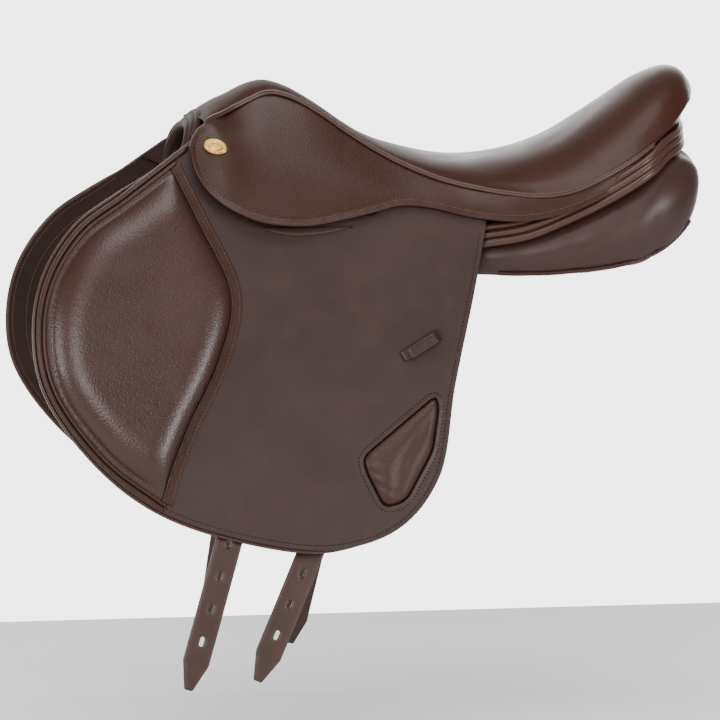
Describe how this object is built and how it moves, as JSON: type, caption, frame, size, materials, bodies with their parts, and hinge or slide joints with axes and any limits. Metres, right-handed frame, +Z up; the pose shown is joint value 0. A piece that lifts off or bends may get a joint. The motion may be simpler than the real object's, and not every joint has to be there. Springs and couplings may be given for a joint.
{
  "type": "english jumping saddle",
  "caption": "Single-flap English jumping saddle with a deep seat, padded knee rolls, stirrup bars and long girth straps; skirts, flaps, catches and straps move.",
  "frame": {"origin": "on the middle plane, under the deepest part of the seat, level with the edge of the panels that bears on the back", "axes": "+X towards the horse's head, +Y towards the near (left) side, +Z up"},
  "size_m": [0.6573, 0.4301, 0.5982],
  "materials": {
    "seat_leather": "smooth havana calf, soft sheen",
    "flap_leather": "smooth dark havana butt leather, satin",
    "grain_leather": "pebbled havana leather, satin",
    "trim_leather": "thin dark leather, rolled",
    "panel_leather": "soft panel hide over flocking",
    "lining_leather": "thin lining hide, matt",
    "strap_leather": "bridle leather, waxed",
    "foam": "seat padding",
    "webbing": "woven girth web",
    "beech": "laminated beech, sealed",
    "steel": "black lacquered steel",
    "bar_steel": "forged stainless steel",
    "badge_brass": "plain lacquered brass"
  },
  "bodies": {
    "saddle": {"tree": "beech", "head_plate": "steel", "pommel_facing": "seat_leather", "bar_rivets": "steel", "girth_web_front": "webbing", "girth_web_rear": "webbing", "seat_foam": "foam", "seat_cover": "seat_leather", "cantle_facing": "seat_leather", "tree_spring_near": "steel", "tree_spring_off": "steel", "seat_web_near": "webbing", "seat_web_off": "webbing", "stirrup_bar_near": "bar_steel", "stirrup_bar_off": "bar_steel", "catch_pin_near": "bar_steel", "catch_pin_off": "bar_steel", "seat_welt_near": "trim_leather", "seat_welt_off": "trim_leather", "skirt_top_near": "flap_leather", "skirt_top_off": "flap_leather", "panel_near": "panel_leather", "panel_off": "panel_leather", "facing_roll_near": "trim_leather", "facing_roll_off": "trim_leather", "panel_piping_near": "trim_leather", "panel_piping_off": "trim_leather"},
    "flap_near": {"flap_near": "flap_leather", "sweat_flap_near": "lining_leather", "flap_piping_near": "trim_leather", "knee_pad_near": "grain_leather", "knee_band_near": "trim_leather", "bar_guard_near": "flap_leather", "calf_block_near": "grain_leather", "keeper_near": "trim_leather"},
    "skirt_near": {"skirt_lobe_near": "flap_leather", "badge_near": "badge_brass"},
    "catch_near": {"safety_catch_near": "bar_steel"},
    "strap_front_near": {"girth_strap_front_near": "strap_leather"},
    "strap_rear_near": {"girth_strap_rear_near": "strap_leather"},
    "flap_off": {"flap_off": "flap_leather", "sweat_flap_off": "lining_leather", "flap_piping_off": "trim_leather", "knee_pad_off": "grain_leather", "knee_band_off": "trim_leather", "bar_guard_off": "flap_leather", "calf_block_off": "grain_leather", "keeper_off": "trim_leather"},
    "skirt_off": {"skirt_lobe_off": "flap_leather", "badge_off": "badge_brass"},
    "catch_off": {"safety_catch_off": "bar_steel"},
    "strap_front_off": {"girth_strap_front_off": "strap_leather"},
    "strap_rear_off": {"girth_strap_rear_off": "strap_leather"}
  },
  "joints": [
    {"name": "lift_flap_near", "type": "hinge", "parent": "saddle", "child": "flap_near", "pos_m": [0.235, 0.081, 0.1], "axis": [0.9608, -0.1029, 0.2574], "range_deg": [0, 12]},
    {"name": "lift_skirt_near", "type": "hinge", "parent": "saddle", "child": "skirt_near", "pos_m": [0.222, 0.0735, 0.143], "axis": [0.906, -0.1621, 0.391], "range_deg": [0, 50]},
    {"name": "turn_catch_near", "type": "hinge", "parent": "saddle", "child": "catch_near", "pos_m": [0.0795, 0.095, 0.059], "axis": [0, 1, 0], "range_deg": [0, 25]},
    {"name": "swing_strap_front_near", "type": "hinge", "parent": "saddle", "child": "strap_front_near", "pos_m": [0.1289, 0.10115, 0.024], "axis": [0, 1, 0], "range_deg": [-6, 20]},
    {"name": "swing_strap_rear_near", "type": "hinge", "parent": "saddle", "child": "strap_rear_near", "pos_m": [0.0046, 0.09015, 0.024], "axis": [0, 1, 0], "range_deg": [-6, 27]},
    {"name": "lift_flap_off", "type": "hinge", "parent": "saddle", "child": "flap_off", "pos_m": [0.235, -0.081, 0.1], "axis": [-0.9608, -0.1029, -0.2574], "range_deg": [0, 12]},
    {"name": "lift_skirt_off", "type": "hinge", "parent": "saddle", "child": "skirt_off", "pos_m": [0.222, -0.0735, 0.143], "axis": [-0.906, -0.1621, -0.391], "range_deg": [0, 50]},
    {"name": "turn_catch_off", "type": "hinge", "parent": "saddle", "child": "catch_off", "pos_m": [0.0795, -0.095, 0.059], "axis": [0, 1, 0], "range_deg": [0, 25]},
    {"name": "swing_strap_front_off", "type": "hinge", "parent": "saddle", "child": "strap_front_off", "pos_m": [0.1289, -0.10115, 0.024], "axis": [0, 1, 0], "range_deg": [-10, 9]},
    {"name": "swing_strap_rear_off", "type": "hinge", "parent": "saddle", "child": "strap_rear_off", "pos_m": [0.0046, -0.09015, 0.024], "axis": [0, 1, 0], "range_deg": [-10, 14]}
  ]
}
